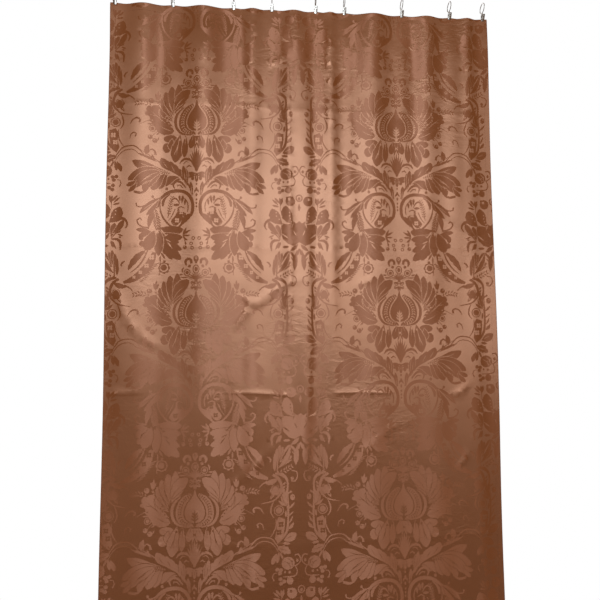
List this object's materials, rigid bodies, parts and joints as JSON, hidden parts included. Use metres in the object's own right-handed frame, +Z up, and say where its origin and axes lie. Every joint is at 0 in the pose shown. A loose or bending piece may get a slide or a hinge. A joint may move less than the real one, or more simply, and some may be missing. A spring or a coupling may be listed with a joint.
{
  "type": "fabric room curtain panel",
  "caption": "Floor-length damask curtain panel with turned hems, hung from a round rod by wire rings with spring clips; it draws along the rod, swings, and each clip opens.",
  "frame": {"origin": "on the axis of the rod that the rings hang on, above the middle of the panel", "axes": "+X along the rod to the viewer's right, +Z up, -Y out of the panel's face into the room"},
  "size_m": [1.31, 0.0345, 2.1925],
  "materials": {
    "jacquard_cloth": "satin",
    "hem_cloth": "satin",
    "ring_wire": "polished",
    "loop_wire": "polished",
    "back_jaw_plate": "satin",
    "front_jaw_plate": "satin",
    "pin_steel": "satin",
    "spring_steel": "satin"
  },
  "bodies": {
    "ring_1": {"ring_1": "ring_wire"},
    "clip_1": {"hanger_loop_1": "loop_wire", "back_jaw_1": "back_jaw_plate", "pivot_pin_1": "pin_steel", "spring_1": "spring_steel", "face_panel": "jacquard_cloth", "header_hem": "hem_cloth", "bottom_hem": "hem_cloth", "left_side_hem": "hem_cloth", "right_side_hem": "hem_cloth"},
    "jaw_1": {"front_jaw_1": "front_jaw_plate"},
    "ring_2": {"ring_2": "ring_wire"},
    "clip_2": {"hanger_loop_2": "loop_wire", "back_jaw_2": "back_jaw_plate", "pivot_pin_2": "pin_steel", "spring_2": "spring_steel"},
    "jaw_2": {"front_jaw_2": "front_jaw_plate"},
    "ring_3": {"ring_3": "ring_wire"},
    "clip_3": {"hanger_loop_3": "loop_wire", "back_jaw_3": "back_jaw_plate", "pivot_pin_3": "pin_steel", "spring_3": "spring_steel"},
    "jaw_3": {"front_jaw_3": "front_jaw_plate"},
    "ring_4": {"ring_4": "ring_wire"},
    "clip_4": {"hanger_loop_4": "loop_wire", "back_jaw_4": "back_jaw_plate", "pivot_pin_4": "pin_steel", "spring_4": "spring_steel"},
    "jaw_4": {"front_jaw_4": "front_jaw_plate"},
    "ring_5": {"ring_5": "ring_wire"},
    "clip_5": {"hanger_loop_5": "loop_wire", "back_jaw_5": "back_jaw_plate", "pivot_pin_5": "pin_steel", "spring_5": "spring_steel"},
    "jaw_5": {"front_jaw_5": "front_jaw_plate"},
    "ring_6": {"ring_6": "ring_wire"},
    "clip_6": {"hanger_loop_6": "loop_wire", "back_jaw_6": "back_jaw_plate", "pivot_pin_6": "pin_steel", "spring_6": "spring_steel"},
    "jaw_6": {"front_jaw_6": "front_jaw_plate"},
    "ring_7": {"ring_7": "ring_wire"},
    "clip_7": {"hanger_loop_7": "loop_wire", "back_jaw_7": "back_jaw_plate", "pivot_pin_7": "pin_steel", "spring_7": "spring_steel"},
    "jaw_7": {"front_jaw_7": "front_jaw_plate"},
    "ring_8": {"ring_8": "ring_wire"},
    "clip_8": {"hanger_loop_8": "loop_wire", "back_jaw_8": "back_jaw_plate", "pivot_pin_8": "pin_steel", "spring_8": "spring_steel"},
    "jaw_8": {"front_jaw_8": "front_jaw_plate"},
    "ring_9": {"ring_9": "ring_wire"},
    "clip_9": {"hanger_loop_9": "loop_wire", "back_jaw_9": "back_jaw_plate", "pivot_pin_9": "pin_steel", "spring_9": "spring_steel"},
    "jaw_9": {"front_jaw_9": "front_jaw_plate"}
  },
  "joints": [
    {"name": "draw", "type": "slide", "parent": "ring_1", "child": "ring_9", "axis": [1, 0, 0], "range_m": [-0.97, 0], "deforming": ["face_panel", "header_hem", "bottom_hem", "left_side_hem", "right_side_hem"]},
    {"name": "ring_slide_2", "type": "slide", "parent": "ring_1", "child": "ring_2", "axis": [1, 0, 0], "range_m": [-0.1465, 0]},
    {"name": "ring_slide_3", "type": "slide", "parent": "ring_1", "child": "ring_3", "axis": [1, 0, 0], "range_m": [-0.3017, 0]},
    {"name": "ring_slide_4", "type": "slide", "parent": "ring_1", "child": "ring_4", "axis": [1, 0, 0], "range_m": [-0.4011, 0]},
    {"name": "ring_slide_5", "type": "slide", "parent": "ring_1", "child": "ring_5", "axis": [1, 0, 0], "range_m": [-0.5163, 0]},
    {"name": "ring_slide_6", "type": "slide", "parent": "ring_1", "child": "ring_6", "axis": [1, 0, 0], "range_m": [-0.5927, 0]},
    {"name": "ring_slide_7", "type": "slide", "parent": "ring_1", "child": "ring_7", "axis": [1, 0, 0], "range_m": [-0.7479, 0]},
    {"name": "ring_slide_8", "type": "slide", "parent": "ring_1", "child": "ring_8", "axis": [1, 0, 0], "range_m": [-0.8788, 0]},
    {"name": "swing", "type": "hinge", "parent": "ring_1", "child": "clip_1", "pos_m": [-0.64, 0, -0.0247], "axis": [1, 0, 0], "range_deg": [-25, 25]},
    {"name": "clip_swing_2", "type": "hinge", "parent": "ring_2", "child": "clip_2", "pos_m": [-0.448, 0, -0.0247], "axis": [1, 0, 0], "range_deg": [-25, 25]},
    {"name": "clip_swing_3", "type": "hinge", "parent": "ring_3", "child": "clip_3", "pos_m": [-0.2432, 0, -0.0247], "axis": [1, 0, 0], "range_deg": [-25, 25]},
    {"name": "clip_swing_4", "type": "hinge", "parent": "ring_4", "child": "clip_4", "pos_m": [-0.112, 0, -0.0247], "axis": [1, 0, 0], "range_deg": [-25, 25]},
    {"name": "clip_swing_5", "type": "hinge", "parent": "ring_5", "child": "clip_5", "pos_m": [0.04, 0, -0.0247], "axis": [1, 0, 0], "range_deg": [-25, 25]},
    {"name": "clip_swing_6", "type": "hinge", "parent": "ring_6", "child": "clip_6", "pos_m": [0.1408, 0, -0.0247], "axis": [1, 0, 0], "range_deg": [-25, 25]},
    {"name": "clip_swing_7", "type": "hinge", "parent": "ring_7", "child": "clip_7", "pos_m": [0.3456, 0, -0.0247], "axis": [1, 0, 0], "range_deg": [-25, 25]},
    {"name": "clip_swing_8", "type": "hinge", "parent": "ring_8", "child": "clip_8", "pos_m": [0.5184, 0, -0.0247], "axis": [1, 0, 0], "range_deg": [-25, 25]},
    {"name": "clip_swing_9", "type": "hinge", "parent": "ring_9", "child": "clip_9", "pos_m": [0.64, 0, -0.0247], "axis": [1, 0, 0], "range_deg": [-25, 25]},
    {"name": "jaw_1_open", "type": "hinge", "parent": "clip_1", "child": "jaw_1", "pos_m": [-0.64, -0.0026, -0.0397], "axis": [-1, 0, 0], "range_deg": [0, 28], "stiffness_Nm_per_rad": 0.03, "springref_deg": -34.38, "deforming": ["spring_1"]},
    {"name": "jaw_2_open", "type": "hinge", "parent": "clip_2", "child": "jaw_2", "pos_m": [-0.448, -0.0026, -0.0397], "axis": [-1, 0, 0], "range_deg": [0, 28], "stiffness_Nm_per_rad": 0.03, "springref_deg": -34.38, "deforming": ["spring_2"]},
    {"name": "jaw_3_open", "type": "hinge", "parent": "clip_3", "child": "jaw_3", "pos_m": [-0.2432, -0.0026, -0.0397], "axis": [-1, 0, 0], "range_deg": [0, 28], "stiffness_Nm_per_rad": 0.03, "springref_deg": -34.38, "deforming": ["spring_3"]},
    {"name": "jaw_4_open", "type": "hinge", "parent": "clip_4", "child": "jaw_4", "pos_m": [-0.112, -0.0026, -0.0397], "axis": [-1, 0, 0], "range_deg": [0, 28], "stiffness_Nm_per_rad": 0.03, "springref_deg": -34.38, "deforming": ["spring_4"]},
    {"name": "jaw_5_open", "type": "hinge", "parent": "clip_5", "child": "jaw_5", "pos_m": [0.04, -0.0026, -0.0397], "axis": [-1, 0, 0], "range_deg": [0, 28], "stiffness_Nm_per_rad": 0.03, "springref_deg": -34.38, "deforming": ["spring_5"]},
    {"name": "jaw_6_open", "type": "hinge", "parent": "clip_6", "child": "jaw_6", "pos_m": [0.1408, -0.0026, -0.0397], "axis": [-1, 0, 0], "range_deg": [0, 28], "stiffness_Nm_per_rad": 0.03, "springref_deg": -34.38, "deforming": ["spring_6"]},
    {"name": "jaw_7_open", "type": "hinge", "parent": "clip_7", "child": "jaw_7", "pos_m": [0.3456, -0.0026, -0.0397], "axis": [-1, 0, 0], "range_deg": [0, 28], "stiffness_Nm_per_rad": 0.03, "springref_deg": -34.38, "deforming": ["spring_7"]},
    {"name": "jaw_8_open", "type": "hinge", "parent": "clip_8", "child": "jaw_8", "pos_m": [0.5184, -0.0026, -0.0397], "axis": [-1, 0, 0], "range_deg": [0, 28], "stiffness_Nm_per_rad": 0.03, "springref_deg": -34.38, "deforming": ["spring_8"]},
    {"name": "jaw_9_open", "type": "hinge", "parent": "clip_9", "child": "jaw_9", "pos_m": [0.64, -0.0026, -0.0397], "axis": [-1, 0, 0], "range_deg": [0, 28], "stiffness_Nm_per_rad": 0.03, "springref_deg": -34.38, "deforming": ["spring_9"]}
  ],
  "couplings": [
    {"joint": "ring_slide_2", "follows": "draw", "ratio": 0.15},
    {"joint": "ring_slide_3", "follows": "draw", "ratio": 0.31},
    {"joint": "ring_slide_4", "follows": "draw", "ratio": 0.4125},
    {"joint": "ring_slide_5", "follows": "draw", "ratio": 0.53125},
    {"joint": "ring_slide_6", "follows": "draw", "ratio": 0.61},
    {"joint": "ring_slide_7", "follows": "draw", "ratio": 0.77},
    {"joint": "ring_slide_8", "follows": "draw", "ratio": 0.905},
    {"joint": "clip_swing_2", "follows": "swing", "ratio": 1},
    {"joint": "clip_swing_3", "follows": "swing", "ratio": 1},
    {"joint": "clip_swing_4", "follows": "swing", "ratio": 1},
    {"joint": "clip_swing_5", "follows": "swing", "ratio": 1},
    {"joint": "clip_swing_6", "follows": "swing", "ratio": 1},
    {"joint": "clip_swing_7", "follows": "swing", "ratio": 1},
    {"joint": "clip_swing_8", "follows": "swing", "ratio": 1},
    {"joint": "clip_swing_9", "follows": "swing", "ratio": 1}
  ]
}
